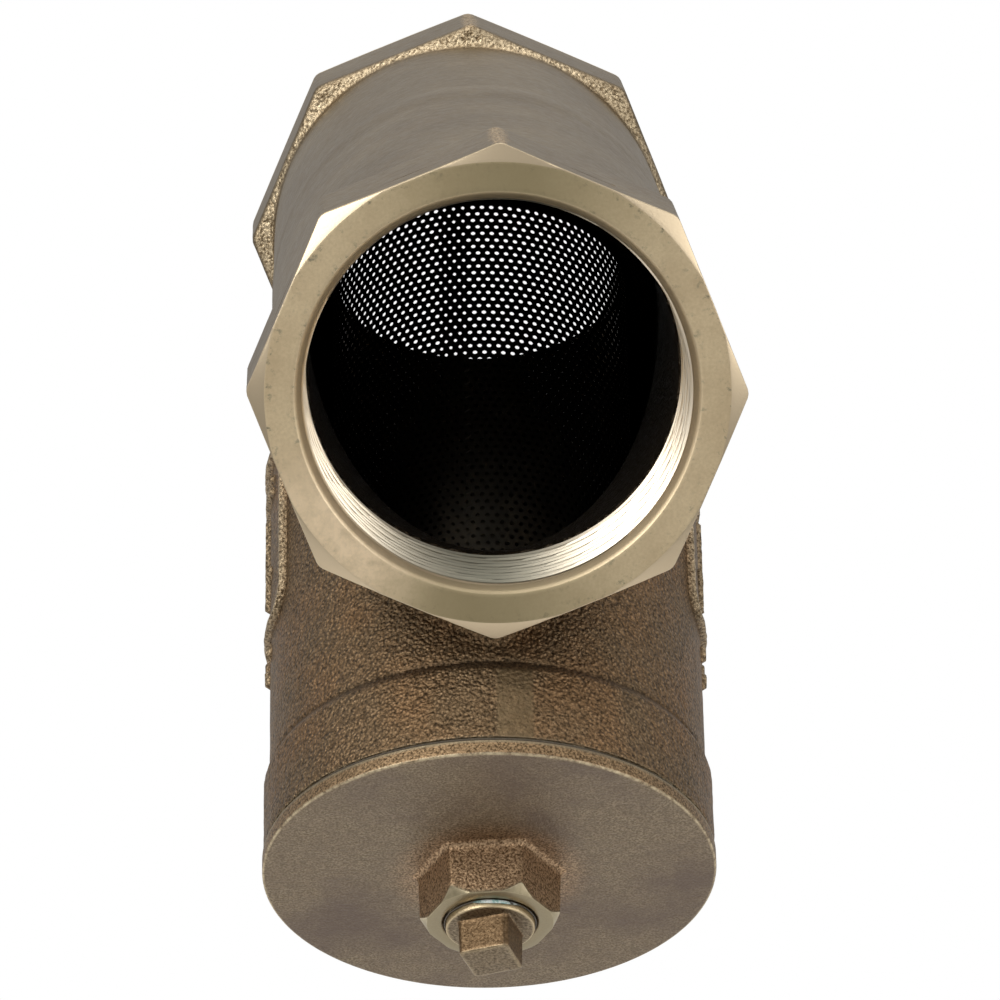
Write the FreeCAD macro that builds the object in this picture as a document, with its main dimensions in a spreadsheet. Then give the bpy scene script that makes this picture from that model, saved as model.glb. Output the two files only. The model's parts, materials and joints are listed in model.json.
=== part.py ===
"""A cast bronze Y strainer with threaded ports, for two inch pipe.

The run lies along Y: the origin is the middle of the inlet port's face, the
inlet opens towards +Y and the outlet towards -Y. The leg comes down and back
towards the outlet, and holds a perforated screen under a screwed cap. A small
square-headed plug in the cap's hexagonal boss drains the dirt.
"""
import FreeCAD, Part
import math
import os
import sys

import Sketcher

SHEET = "dims"
ROUGH_RADIUS = 50.0

# alias, millimetres or degrees, what it is
DIMENSIONS = [
    ("body_length", 178.0, "port face to port face"),
    ("port_flats", 69.85, "across the flats of the octagonal port ends"),
    ("port_face_circle", 70.0, "diameter where the face meets its chamfer"),
    ("port_chamfer_depth", 1.2, "depth of the chamfer at the octagon's corners"),
    ("outlet_octagon", 22.0, "length of the octagon at the outlet"),
    ("inlet_octagon", 20.0, "length of the octagon at the inlet"),
    ("shoulder_length", 3.0, "slope from an octagon's corners to the round run"),
    ("shoulder_overlap", 0.7, "how far that slope runs on into the round run"),
    ("run_diameter", 68.4, "outside of the round run"),
    ("run_inset", 10.0, "port face to the run's end, inside the octagon"),
    ("thread_bore", 57.7, "bore of the pipe thread, at its middle"),
    ("thread_depth", 20.5, "face to the inner end of the thread"),
    ("mouth_diameter", 61.1, "countersink at the face"),
    ("mouth_depth", 1.0, "depth of that countersink"),
    ("inlet_bore", 52.0, "cored passage from the inlet to the seat"),
    ("chamber_bore", 56.8, "cored chamber round the screen"),
    ("leg_angle", 45.0, "leg to run"),
    ("junction_from_inlet", 82.4, "inlet face to where the leg's axis crosses the run's"),
    ("leg_diameter", 68.0, "outside of the leg"),
    ("collar_diameter", 69.8, "outside of the collar at the leg's end"),
    ("collar_start", 94.3, "junction to the collar"),
    ("leg_end", 107.5, "junction to the collar's machined end"),
    ("cap_bore", 60.1, "threaded bore that takes the cap"),
    ("cap_bore_start", 93.5, "junction to the inner end of that bore"),
    ("seat_above", 1.7, "junction back to the chamber side of the seat wall"),
    ("seat_wall", 2.5, "thickness of the seat wall"),
    ("seat_recess", 49.8, "recess that takes the screen's upper end"),
    ("seat_recess_depth", 1.9, "depth of that recess"),
    ("seat_hole", 47.2, "hole from the inlet into the screen"),
    ("screen_diameter", 48.0, "outside of the rolled screen"),
    ("screen_sheet", 0.6, "thickness of the screen sheet"),
    ("screen_lap", 11.0, "angle that the lap seam covers"),
    ("screen_seam_turn", 97.8, "angle from +X to the start of the lap seam"),
    ("screen_top_above", 3.5, "junction back to the screen's upper end"),
    ("screen_bottom", 100.5, "junction to the screen's lower end"),
    ("gasket_sheet", 0.5, "thickness of the cap's gasket"),
    ("gasket_outside", 69.2, "outside diameter of the gasket"),
    ("gasket_inside", 60.8, "inside diameter of the gasket"),
    ("cap_diameter", 70.2, "outside of the cap's flange"),
    ("cap_flange", 2.7, "thickness of the cap's flange"),
    ("cap_spigot", 60.0, "outside of the cap's threaded spigot"),
    ("cap_spigot_length", 11.1, "length of the spigot below the flange"),
    ("cap_pocket", 49.8, "pocket that takes the screen's lower end"),
    ("cap_pocket_floor", 100.6, "junction to the step that the screen stands on"),
    ("cap_sump", 44.0, "sump inside the cap"),
    ("cap_sump_floor", 104.4, "junction to the sump's floor"),
    ("boss_flats", 18.9, "across the flats of the cap's hexagonal boss"),
    ("boss_height", 8.7, "boss above the cap's face"),
    ("boss_turn", 5.2, "angle that the boss is turned"),
    ("boss_face_circle", 19.4, "diameter where the boss's face meets its chamfer"),
    ("boss_chamfer_depth", 1.5, "depth of the chamfer at the boss's corners"),
    ("plug_bore", 13.86, "tapped hole for the plug"),
    ("plug_countersink", 15.0, "countersink of that hole"),
    ("plug_countersink_depth", 0.6, "depth of that countersink"),
    ("plug_diameter", 13.7, "outside of the plug's threaded shank"),
    ("plug_proud", 1.1, "plug's shoulder above the boss's face"),
    ("plug_shank", 11.0, "length of the plug's shank"),
    ("plug_nose_chamfer", 0.8, "chamfer at the plug's inner end"),
    ("plug_head", 8.1, "side of the plug's square head"),
    ("plug_head_height", 5.7, "head above the plug's shoulder"),
    ("plug_turn", 20.2, "angle that the head is turned"),
    ("sealant_width", 0.34, "width of the sealant bead"),
    ("sealant_outside", 14.4, "outside diameter of the sealant bead"),
    ("sealant_sunk", 0.1, "start of the sealant bead below the boss's face"),
    ("sealant_height", 0.7, "height of the sealant bead"),
    ("pad_height", 1.0, "raised panel above the leg's side"),
    ("pad_width", 27.0, "width of the raised panel"),
    ("pad_start", 36.0, "junction to the panel's upper end"),
    ("pad_end", 69.0, "junction to the panel's lower end"),
    ("overlap", 1.0, "how far a shape runs past the one that it joins or cuts"),
]

document = FreeCAD.newDocument("y_strainer")
sheet = document.addObject("Spreadsheet::Sheet", SHEET)
for row, (alias, value, meaning) in enumerate(DIMENSIONS, start=1):
    sheet.set("A%d" % row, alias)
    sheet.set("B%d" % row, str(value))
    sheet.set("C%d" % row, meaning)
    sheet.setAlias("B%d" % row, alias)
document.recompute()

X_AXIS = FreeCAD.Vector(1, 0, 0)
PLUS_Y = FreeCAD.Rotation(X_AXIS, -90)
MINUS_Y = FreeCAD.Rotation(X_AXIS, 90)

# Distances along the leg's axis, from the junction, as expressions.
FLANGE_UNDERSIDE = "(dims.leg_end + dims.gasket_sheet)"
CAP_FACE = "(dims.leg_end + dims.gasket_sheet + dims.cap_flange)"
BOSS_FACE = "(dims.leg_end + dims.gasket_sheet + dims.cap_flange + dims.boss_height)"
PLUG_SHOULDER = "(" + BOSS_FACE + " + dims.plug_proud)"
SEAT_FACE = "(0 - dims.seat_above)"
OUTER_CORNER = "(dims.port_flats / 2 / cos(22.5 deg))"


def lay_along_run(item, start, rotation=PLUS_Y):
    """Turn an item's own Z along the run, starting at an expression in Y."""
    item.Placement = FreeCAD.Placement(FreeCAD.Vector(0, 0, 0), rotation)
    item.setExpression(".Placement.Base.y", start)


def lay_along_leg(item, start, side="0"):
    """Turn an item's own Z down the leg, starting at an expression along it."""
    item.Placement = FreeCAD.Placement(FreeCAD.Vector(0, 0, 0), FreeCAD.Rotation(X_AXIS, 135))
    item.setExpression(".Placement.Rotation.Angle", "180 deg - dims.leg_angle * 1 deg")
    item.setExpression(".Placement.Base.x", side)
    along_y = "0 - dims.junction_from_inlet - (%s) * cos(dims.leg_angle * 1 deg)" % start
    item.setExpression(".Placement.Base.y", along_y)
    item.setExpression(".Placement.Base.z", "0 - (%s) * sin(dims.leg_angle * 1 deg)" % start)


def solid(kind, name, **sizes):
    """A Part primitive whose sizes are bound to the sheet."""
    item = document.addObject("Part::" + kind, name)
    for size, expression in sizes.items():
        item.setExpression(size, expression)
    return item


def cylinder(name, diameter, length):
    return solid("Cylinder", name, Radius="dims.%s / 2" % diameter, Height=length)


def joined(name, items):
    union = document.addObject("Part::MultiFuse", name)
    union.Shapes = items
    return union


def joined_in_turn(name, items):
    """One fuse after another, for outsides whose surfaces run close together."""
    whole = items[0]
    for count, item in enumerate(items[1:], start=1):
        step = document.addObject("Part::Fuse", "%s_%d" % (name, count))
        step.Base = whole
        step.Tool = item
        whole = step
    return whole


def common(name, items):
    shared = document.addObject("Part::MultiCommon", name)
    shared.Shapes = items
    return shared


def part_body(label):
    body = document.addObject("PartDesign::Body", label)
    body.Label = label
    return body


def outline(body, name, role, points):
    """A closed outline on one of the body's origin planes, each point bound to the sheet."""
    sketch = body.newObject("Sketcher::SketchObject", name)
    plane = next(item for item in body.Origin.OriginFeatures if item.Role == role)
    sketch.AttachmentSupport = [(plane, "")]
    sketch.MapMode = "FlatFace"
    count = len(points)
    spread = [2 * math.pi * index / count for index in range(count)]
    rough = [
        FreeCAD.Vector(ROUGH_RADIUS * math.cos(turn), ROUGH_RADIUS * math.sin(turn), 0)
        for turn in spread
    ]
    for index in range(count):
        sketch.addGeometry(Part.LineSegment(rough[index], rough[(index + 1) % count]), False)
    for index in range(count):
        following = (index + 1) % count
        sketch.addConstraint(Sketcher.Constraint("Coincident", index, 2, following, 1))
    for index, (across, along) in enumerate(points):
        for kind, expression, axis in (("DistanceX", across, -2), ("DistanceY", along, -1)):
            if expression == "0":
                sketch.addConstraint(Sketcher.Constraint("PointOnObject", index, 1, axis))
                continue
            place = sketch.addConstraint(Sketcher.Constraint(kind, -1, 1, index, 1, 1.0))
            sketch.setExpression("Constraints[%d]" % place, expression)
    return sketch


def spin(body, kind, name, points):
    """Revolve (or groove) an outline given as radius and height round the body's own Z."""
    sketch = outline(body, name + "_outline", "XZ_Plane", points)
    feature = body.newObject("PartDesign::" + kind, name)
    feature.Profile = sketch
    feature.ReferenceAxis = (sketch, ["V_Axis"])
    feature.Angle = 360.0
    sketch.Visibility = False
    document.recompute()
    return feature


def prism(body, name, sides, flats, turn, start, height):
    """Pad a regular outline with the given distance across its flats."""
    points = []
    for index in range(sides):
        corner = "(%s * 1 deg + %g deg)" % (turn, 360.0 * index / sides)
        reach = "%s / 2 / cos(%g deg)" % (flats, 180.0 / sides)
        points.append(("%s * cos(%s)" % (reach, corner), "%s * sin(%s)" % (reach, corner)))
    sketch = outline(body, name + "_outline", "XY_Plane", points)
    sketch.setExpression(".AttachmentOffset.Base.z", start)
    feature = body.newObject("PartDesign::Pad", name)
    feature.Profile = sketch
    feature.setExpression("Length", height)
    sketch.Visibility = False
    document.recompute()
    return feature


def octagon(name, length, face_y, rotation):
    """One port's octagon: chamfered at the face, sloping to the run at the back."""
    bar = document.addObject("Part::Prism", name + "_bar")
    bar.Polygon = 8
    bar.setExpression("Circumradius", OUTER_CORNER)
    bar.setExpression("Height", "%s + dims.shoulder_length" % length)
    lay_along_run(bar, face_y, rotation)
    rise = "(%s - dims.port_face_circle / 2) / dims.port_chamfer_depth" % OUTER_CORNER
    face_cone = solid(
        "Cone",
        name + "_face_cone",
        Radius1="dims.port_face_circle / 2",
        Radius2="dims.port_face_circle / 2 + %s * dims.body_length" % rise,
        Height="dims.body_length",
    )
    lay_along_run(face_cone, face_y, rotation)
    sunk = "(dims.run_diameter / 2 - dims.shoulder_overlap)"
    fall = "(%s - %s) / dims.shoulder_length" % (OUTER_CORNER, sunk)
    total = "(%s + dims.shoulder_length)" % length
    back_cone = solid(
        "Cone",
        name + "_back_cone",
        Radius1="%s + %s * %s" % (sunk, fall, total),
        Radius2=sunk,
        Height=total,
    )
    lay_along_run(back_cone, face_y, rotation)
    return common(name, [bar, face_cone, back_cone])


def port_cutter(name, face_y, rotation):
    """The pipe thread's plain bore and its countersink."""
    bore = cylinder(name + "_bore", "thread_bore", "dims.thread_depth")
    lay_along_run(bore, face_y, rotation)
    mouth = solid(
        "Cone",
        name + "_mouth",
        Radius1="dims.mouth_diameter / 2",
        Radius2="dims.thread_bore / 2",
        Height="dims.mouth_depth",
    )
    lay_along_run(mouth, face_y, rotation)
    return joined(name, [bore, mouth])


def shift_across_leg(item, distance):
    """Move an item sideways in its own -Y, which points down and away from the outlet."""
    part_way = "(%s) * sin(dims.leg_angle * 1 deg)" % distance
    for axis, sign in (("y", "+"), ("z", "-")):
        path = ".Placement.Base." + axis
        base = dict(item.ExpressionEngine)[path]
        item.setExpression(path, "%s %s %s" % (base, sign, part_way))


def half_space(name, start):
    """Everything further down the leg than an expression along it."""
    block = document.addObject("Part::Box", name)
    for side in ("Length", "Width", "Height"):
        block.setExpression(side, "dims.body_length * 2")
    lay_along_leg(block, start, "0 - dims.body_length")
    shift_across_leg(block, "dims.body_length")
    return block


def side_pad(name, side):
    """A shallow raised panel along one side of the leg."""
    block = document.addObject("Part::Box", name + "_block")
    length = "dims.pad_end - dims.pad_start"
    half = "dims.pad_width / 2"
    block.setExpression("Length", "dims.leg_diameter")
    block.setExpression("Width", "dims.pad_width")
    block.setExpression("Height", length)
    edge = "0" if side > 0 else "0 - dims.leg_diameter"
    lay_along_leg(block, "dims.pad_start", edge)
    shift_across_leg(block, half)
    skin = solid("Cylinder", name + "_skin", Height=length)
    skin.setExpression("Radius", "dims.leg_diameter / 2 + dims.pad_height")
    lay_along_leg(skin, "dims.pad_start")
    return common(name, [block, skin])


def make_casting():
    """The body: octagonal ports, round run, leg and collar, cored from both ports."""
    outlet_y = "0 - dims.body_length"
    outlet = octagon("outlet_octagon", "dims.outlet_octagon", outlet_y, PLUS_Y)
    inlet = octagon("inlet_octagon", "dims.inlet_octagon", "0", MINUS_Y)
    run = cylinder("run_outside", "run_diameter", "dims.body_length - 2 * dims.run_inset")
    lay_along_run(run, outlet_y + " + dims.run_inset")
    leg = cylinder("leg_outside", "leg_diameter", "dims.leg_end")
    lay_along_leg(leg, "0")
    collar = cylinder("collar_outside", "collar_diameter", "dims.leg_end - dims.collar_start")
    lay_along_leg(collar, "dims.collar_start")
    pads = [side_pad("left_pad", -1), side_pad("right_pad", 1)]
    outside = joined_in_turn("casting_outside", [run, leg, collar, outlet, inlet] + pads)

    below_seat = half_space("below_seat", SEAT_FACE)
    past_thread = "dims.body_length - dims.thread_depth"
    chamber = cylinder("outlet_chamber_bore", "chamber_bore", past_thread)
    lay_along_run(chamber, outlet_y + " + dims.thread_depth")
    outlet_chamber = common("outlet_chamber", [chamber, below_seat])
    leg_chamber = cylinder("leg_chamber", "chamber_bore", "dims.leg_end + dims.seat_above")
    lay_along_leg(leg_chamber, SEAT_FACE)

    inlet_side = cylinder("inlet_passage_bore", "inlet_bore", past_thread)
    lay_along_run(inlet_side, "0", MINUS_Y)
    below_wall = half_space("below_seat_wall", "(0 - dims.seat_above - dims.seat_wall)")
    inlet_passage = document.addObject("Part::Cut", "inlet_passage")
    inlet_passage.Base = inlet_side
    inlet_passage.Tool = below_wall
    seat_hole = cylinder("seat_hole", "seat_hole", "dims.seat_wall + dims.overlap")
    lay_along_leg(seat_hole, "(0 - dims.seat_above - dims.seat_wall - dims.overlap / 2)")
    recess = cylinder("seat_recess", "seat_recess", "dims.seat_recess_depth + dims.overlap")
    lay_along_leg(recess, "(0 - dims.seat_above - dims.seat_recess_depth)")
    cap_bore_length = "dims.leg_end - dims.cap_bore_start + dims.overlap"
    cap_thread = cylinder("cap_bore", "cap_bore", cap_bore_length)
    lay_along_leg(cap_thread, "dims.cap_bore_start")
    outlet_port = port_cutter("outlet_port", outlet_y, PLUS_Y)
    inlet_port = port_cutter("inlet_port", "0", MINUS_Y)
    cutters = [outlet_chamber, leg_chamber, inlet_passage, seat_hole, recess, cap_thread]
    inside = joined("casting_inside", cutters + [outlet_port, inlet_port])

    casting = document.addObject("Part::Cut", "body_casting")
    casting.Base = outside
    casting.Tool = inside
    casting.Label = "body_casting"
    return casting


def make_screen():
    """A perforated sheet rolled to a tube, with its lap seam as a second layer."""
    body = part_body("screen")
    height = "(dims.screen_bottom + dims.screen_top_above)"
    inner = "dims.screen_diameter / 2 - dims.screen_sheet"
    outer = "dims.screen_diameter / 2"
    tube = [(inner, "0"), (outer, "0"), (outer, height), (inner, height)]
    spin(body, "Revolution", "rolled_sheet", tube)
    lap_out = outer + " + dims.screen_sheet"
    lap_in = outer + " - dims.screen_sheet / 4"
    lap = [(lap_in, "0"), (lap_out, "0"), (lap_out, height), (lap_in, height)]
    feature = spin(body, "Revolution", "lap_seam", lap)
    feature.setExpression("Angle", "dims.screen_lap * 1 deg")
    body.Tip = feature
    lay_along_leg(body, "(0 - dims.screen_top_above)")
    turn = FreeCAD.Rotation(FreeCAD.Vector(0, 0, 1), sheet.get("screen_seam_turn"))
    leg_turn = FreeCAD.Rotation(X_AXIS, 180 - sheet.get("leg_angle"))
    body.setExpression(".Placement.Rotation.Angle", None)
    place = body.Placement
    body.Placement = FreeCAD.Placement(place.Base, leg_turn.multiply(turn))
    return body


def make_gasket():
    body = part_body("cap_gasket")
    inner = "dims.gasket_inside / 2"
    outer = "dims.gasket_outside / 2"
    ring = [(inner, "0"), (outer, "0"), (outer, "dims.gasket_sheet"), (inner, "dims.gasket_sheet")]
    body.Tip = spin(body, "Revolution", "gasket_ring", ring)
    lay_along_leg(body, "dims.leg_end")
    return body


def make_cap():
    """The screwed cap: flange, hollow spigot, hexagonal boss and the plug's tapped hole."""
    body = part_body("cap")
    pocket = "dims.cap_pocket / 2"
    sump = "dims.cap_sump / 2"
    spigot = "dims.cap_spigot / 2"
    rim = "dims.cap_diameter / 2"
    spigot_end = FLANGE_UNDERSIDE + " - dims.cap_spigot_length"
    bowl = [
        ("0", "dims.cap_sump_floor"),
        (sump, "dims.cap_sump_floor"),
        (sump, "dims.cap_pocket_floor"),
        (pocket, "dims.cap_pocket_floor"),
        (pocket, spigot_end),
        (spigot, spigot_end),
        (spigot, FLANGE_UNDERSIDE),
        (rim, FLANGE_UNDERSIDE),
        (rim, CAP_FACE),
        ("0", CAP_FACE),
    ]
    spin(body, "Revolution", "bowl", bowl)
    root = CAP_FACE + " - dims.overlap"
    height = "dims.boss_height + dims.overlap"
    prism(body, "boss", 6, "dims.boss_flats", "dims.boss_turn", root, height)
    face_edge = "dims.boss_face_circle / 2"
    corner = "dims.boss_flats / 2 / cos(30 deg)"
    beyond = "(%s + dims.overlap)" % corner
    slope = "dims.boss_chamfer_depth / (%s - %s)" % (corner, face_edge)
    low = BOSS_FACE + " - (%s) * (%s - %s)" % (slope, beyond, face_edge)
    above = BOSS_FACE + " + dims.overlap"
    edge = [(face_edge, BOSS_FACE), (beyond, low), (beyond, above), (face_edge, above)]
    spin(body, "Groove", "boss_chamfer", edge)
    bore = "dims.plug_bore / 2"
    sink = "dims.plug_countersink / 2"
    below = "dims.cap_sump_floor - dims.overlap"
    hole = [
        ("0", below),
        (bore, below),
        (bore, BOSS_FACE + " - dims.plug_countersink_depth"),
        (sink, BOSS_FACE),
        (sink, above),
        ("0", above),
    ]
    body.Tip = spin(body, "Groove", "plug_hole", hole)
    lay_along_leg(body, "0")
    return body


def make_plug():
    """The pipe plug: threaded shank and square head."""
    body = part_body("blowoff_plug")
    radius = "dims.plug_diameter / 2"
    nose = radius + " - dims.plug_nose_chamfer"
    shank_end = PLUG_SHOULDER + " - dims.plug_shank"
    shank = [
        ("0", shank_end),
        (nose, shank_end),
        (radius, shank_end + " + dims.plug_nose_chamfer"),
        (radius, PLUG_SHOULDER),
        ("0", PLUG_SHOULDER),
    ]
    spin(body, "Revolution", "shank", shank)
    quarter_turn = "(dims.plug_turn + 45)"
    root = PLUG_SHOULDER + " - dims.overlap"
    height = "dims.plug_head_height + dims.overlap"
    body.Tip = prism(body, "square_head", 4, "dims.plug_head", quarter_turn, root, height)
    lay_along_leg(body, "0")
    return body


def make_sealant():
    """The bead of jointing compound that is squeezed out round the plug at the boss's face."""
    body = part_body("plug_sealant")
    inner = "(dims.sealant_outside / 2 - dims.sealant_width)"
    outer = "dims.sealant_outside / 2"
    top = "dims.sealant_height"
    bead = [(inner, "0"), (outer, "0"), (outer, top), (inner, top)]
    body.Tip = spin(body, "Revolution", "bead", bead)
    lay_along_leg(body, BOSS_FACE + " - dims.sealant_sunk")
    return body


def check_and_export(parts):
    document.recompute()
    faults = []
    for item in document.Objects:
        if "Invalid" in item.State or "Error" in item.State:
            faults.append("%s is %s" % (item.Label, item.State))
    for item in parts:
        shape = item.Shape
        if shape.isNull() or not shape.isValid():
            faults.append("%s has no valid shape" % item.Label)
        elif len(shape.Solids) != 1:
            faults.append("%s has %d solids" % (item.Label, len(shape.Solids)))
    if faults:
        sys.exit("\n".join(faults))
    os.makedirs("parts", exist_ok=True)
    for item in parts:
        item.Shape.exportStep("parts/%s.step" % item.Label)
        print("%-14s %10.1f mm3" % (item.Label, item.Shape.Volume))


check_and_export(
    [
        make_casting(),
        make_screen(),
        make_gasket(),
        make_cap(),
        make_plug(),
        make_sealant(),
    ]
)
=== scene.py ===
"""The looks of a cast bronze Y strainer, built round its CAD frame.

Lengths in this script are millimetres in the object's own frame (origin at the inlet
face, +Y out of the inlet, +Z up) until a mesh is made, which is in metres. The leg has
its own coordinates: "along" runs down its axis from where it meets the run's axis.
"""
import json
import math

import bpy
import numpy as np
from mathutils import Matrix, Vector


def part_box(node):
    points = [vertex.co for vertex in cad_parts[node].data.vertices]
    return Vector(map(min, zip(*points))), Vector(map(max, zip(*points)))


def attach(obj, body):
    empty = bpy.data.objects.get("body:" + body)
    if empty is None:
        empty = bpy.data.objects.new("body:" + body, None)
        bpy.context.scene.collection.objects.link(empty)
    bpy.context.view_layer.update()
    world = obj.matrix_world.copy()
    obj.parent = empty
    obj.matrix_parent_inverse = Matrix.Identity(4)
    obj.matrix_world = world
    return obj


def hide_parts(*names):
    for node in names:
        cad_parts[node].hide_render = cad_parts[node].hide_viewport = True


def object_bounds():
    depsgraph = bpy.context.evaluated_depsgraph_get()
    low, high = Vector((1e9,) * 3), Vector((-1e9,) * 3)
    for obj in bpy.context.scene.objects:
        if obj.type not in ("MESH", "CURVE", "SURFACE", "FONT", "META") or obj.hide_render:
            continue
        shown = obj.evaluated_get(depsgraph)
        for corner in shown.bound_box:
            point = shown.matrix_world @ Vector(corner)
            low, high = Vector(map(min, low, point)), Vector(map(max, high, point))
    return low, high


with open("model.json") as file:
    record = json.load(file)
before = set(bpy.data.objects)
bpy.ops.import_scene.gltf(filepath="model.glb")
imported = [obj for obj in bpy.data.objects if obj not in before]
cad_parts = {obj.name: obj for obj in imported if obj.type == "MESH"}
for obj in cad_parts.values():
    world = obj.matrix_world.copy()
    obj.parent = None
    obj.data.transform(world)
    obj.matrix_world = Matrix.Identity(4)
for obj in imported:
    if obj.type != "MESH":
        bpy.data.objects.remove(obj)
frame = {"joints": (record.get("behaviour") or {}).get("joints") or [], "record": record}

CAD_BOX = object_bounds()
MM = 0.001
TAU = 2 * math.pi
OTHER_AXES = ([1, 2], [0, 2], [0, 1])

# ---- Sizes, worked out from the frame where the frame holds them ----
MOUNTS = {mount["name"]: mount for mount in frame["record"]["mounts"]}
JOINTS = {joint["name"]: joint for joint in frame["joints"]}
CASTING_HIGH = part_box("body_casting")[1]
MOUTH_Y = MOUNTS["inlet_port"]["pos_m"][1] / MM
OUTLET_Y = MOUNTS["outlet_port"]["pos_m"][1] / MM + MOUTH_Y
CORNER_RADIUS = CASTING_HIGH.x / MM
APOTHEM = CORNER_RADIUS * math.cos(math.radians(22.5))
LEG_DIRECTION = np.array(JOINTS["screen_withdraw"]["axis"], float)
TILT = math.sqrt(0.5)
HINGE = np.array(JOINTS["cap_turn"]["pos_m"], float) / MM
JUNCTION_Y = HINGE[1] - HINGE[2]

# The run and its two octagons.
RUN_RADIUS = 33.8
OUTLET_OCTAGON = 21.5
INLET_OCTAGON = 20.0
CORNER_ROUND = 2.0
SHELL_STEP = 0.9
SNAP_REACH = 0.6
FACE_CIRCLE = 35.0
CHAMFER_SLOPE = 1.2 / 2.8
THREAD_START = 2.2
THREAD_END = 20.5
THREAD_PITCH = 25.4 / 11.5
THREAD_STEP = 0.15
# Where the turned port rings take over from the cast shell, and where painted shade and a painted
# highlight lie on them.
PORT_RING = 6.0
NEAR_OCTAGON = 1.0
SLEEVE_RADIUS = 31.4
SHEEN_SHADE_TURN = math.radians(-4)
HIGHLIGHT_TURN = math.radians(222)

# The leg, its collar, and where the turned collar takes over from the shell.
LEG_RADIUS = 34.0
LEG_END = 107.5
COLLAR_RADIUS = 34.9
COLLAR_START = 94.3
COLLAR_RING = 93.0
COLLAR_LAP = 1.2
CAP_BORE_RADIUS = 30.05
CAP_BORE_START = 93.5
CAP_PITCH = 25.4 / 12
CAP_THREAD_DEPTH = 1.2
CAP_THREAD_STEP = 0.2

# The inside: chambers, and the seat in the slanted wall.
CHAMBER_RADIUS = 28.4
INLET_RADIUS = 26.0
SEAT_HOLE_RADIUS = 23.6
SEAT_RECESS_RADIUS = 24.9
SEAT_FACE = -1.7
SEAT_RECESS_END = -3.35
SEAT_BACK = -4.25

# Gasket, cap and boss.
GASKET = 0.5
FLANGE_UNDER = LEG_END + GASKET
CAP_FACE = FLANGE_UNDER + 2.7
CAP_RADIUS = 35.1
BOSS_FACE = CAP_FACE + 8.7
BOSS_FLATS = 18.9
BOSS_TURN = math.radians(5.2)
BOSS_FACE_RADIUS = 9.7
BOSS_CHAMFER_SLOPE = 1.24

# Plug.
PLUG_BORE_RADIUS = 6.93
PLUG_RADIUS = 6.85
PLUG_PITCH = 25.4 / 18
PLUG_THREAD_STEP = 0.18
PLUG_SHOULDER = BOSS_FACE + 1.1
PLUG_HEAD_END = PLUG_SHOULDER + 5.7
PLUG_SIDE = 8.1
PLUG_CORNER_TURN = math.radians(20.2 + 45)

# Screen.
SCREEN_RADIUS = 24.0
SCREEN_SHEET = 0.16
SCREEN_TOP = -3.25
SCREEN_BOTTOM = 100.5
SCREEN_MARGIN = 3.0
SEAM_TURN = math.radians(97.8)
SEAM_ANGLE = math.radians(11.0)
HOLE_RADIUS = 0.37
HOLE_SIDES = 12
COLUMNS = 100
LAP_SHIFT = 0.11
CELL_UNITS = 1200

# Side panels, in the leg's coordinates.
PANEL_ALONG = 52.5
PANEL_HALF_ALONG = 16.5
PANEL_HALF_WIDE = 13.0
PANEL_CORNER = 5.0
PANEL_STEP = 0.3

# What the lights point at, in metres.
LIGHT_TARGET = (0, -0.1, -0.03)


# ---- Numbers and noise ----
def lattice_value(cells, seed):
    """A fixed pseudo-random number in 0..1 for each integer lattice point."""
    mixed = cells[..., 0] * 374761393 + cells[..., 1] * 668265263 + cells[..., 2] * 2147483647
    mixed = (mixed + seed * 1274126177) & 0x7FFFFFFF
    mixed = ((mixed ^ (mixed >> 13)) * 1274126177) & 0x7FFFFFFF
    return ((mixed ^ (mixed >> 16)) & 0xFFFF) / 65535.0


def value_noise(points, size, seed):
    """Smooth noise in -1..1 whose lumps are about size millimetres across."""
    scaled = points / size
    base = np.floor(scaled).astype(np.int64)
    part = scaled - base
    part = part * part * (3 - 2 * part)
    total = np.zeros(len(points))
    for corner in range(8):
        offset = np.array([corner & 1, (corner >> 1) & 1, (corner >> 2) & 1])
        weight = np.prod(np.where(offset == 1, part, 1 - part), axis=1)
        total += weight * lattice_value(base + offset, seed)
    return total * 2 - 1


def smooth_step(low, high, value):
    """0 at low and 1 at high, easing between; low may be the larger number."""
    part = np.clip((value - low) / (high - low), 0, 1)
    return part * part * (3 - 2 * part)


def smooth_min(first, second, width):
    """The smaller of two distances, with a fillet about width across where they meet."""
    blend = np.clip(1 - np.abs(first - second) / np.maximum(width, 1e-6), 0, 1)
    return np.minimum(first, second) - blend * blend * width / 4


def smooth_max(first, second, width):
    return -smooth_min(-first, -second, width)


# ---- The casting's shape as signed distances ----
def run_coordinates(points):
    """Depth behind the outlet's face, depth behind the inlet's, and distance from the axis."""
    radius = np.hypot(points[..., 0], points[..., 2])
    return points[..., 1] - OUTLET_Y, -points[..., 1], radius


def leg_coordinates(points):
    """Distance down the leg's axis, across it towards the outlet's top, and from it."""
    along_y = points[..., 1] - JUNCTION_Y
    up = points[..., 2]
    across = (up - along_y) * TILT
    return -(along_y + up) * TILT, across, np.hypot(points[..., 0], across)


def leg_point(along, radius, turn):
    """The object's coordinates of points given round the leg's axis; turn 90 degrees faces the outlet."""
    side = radius * np.cos(turn)
    across = radius * np.sin(turn)
    along = along + np.zeros_like(side)
    y = JUNCTION_Y - along * TILT - across * TILT
    z = -along * TILT + across * TILT
    return np.stack([side, y, z], axis=-1)


def octagon_distance(points):
    """Distance to the octagonal bar round the run, with rounded corners."""
    x, z = points[..., 0], points[..., 2]
    radius = np.hypot(x, z)
    eighth = math.radians(45)
    turn = np.mod(np.arctan2(z, x), eighth) - eighth / 2
    out = radius * np.cos(turn) - (APOTHEM - CORNER_ROUND)
    half_side = (APOTHEM - CORNER_ROUND) * math.tan(eighth / 2)
    beyond = np.maximum(np.abs(radius * np.sin(turn)) - half_side, 0)
    return np.hypot(np.maximum(out, 0), beyond) + np.minimum(out, 0) - CORNER_ROUND


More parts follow.
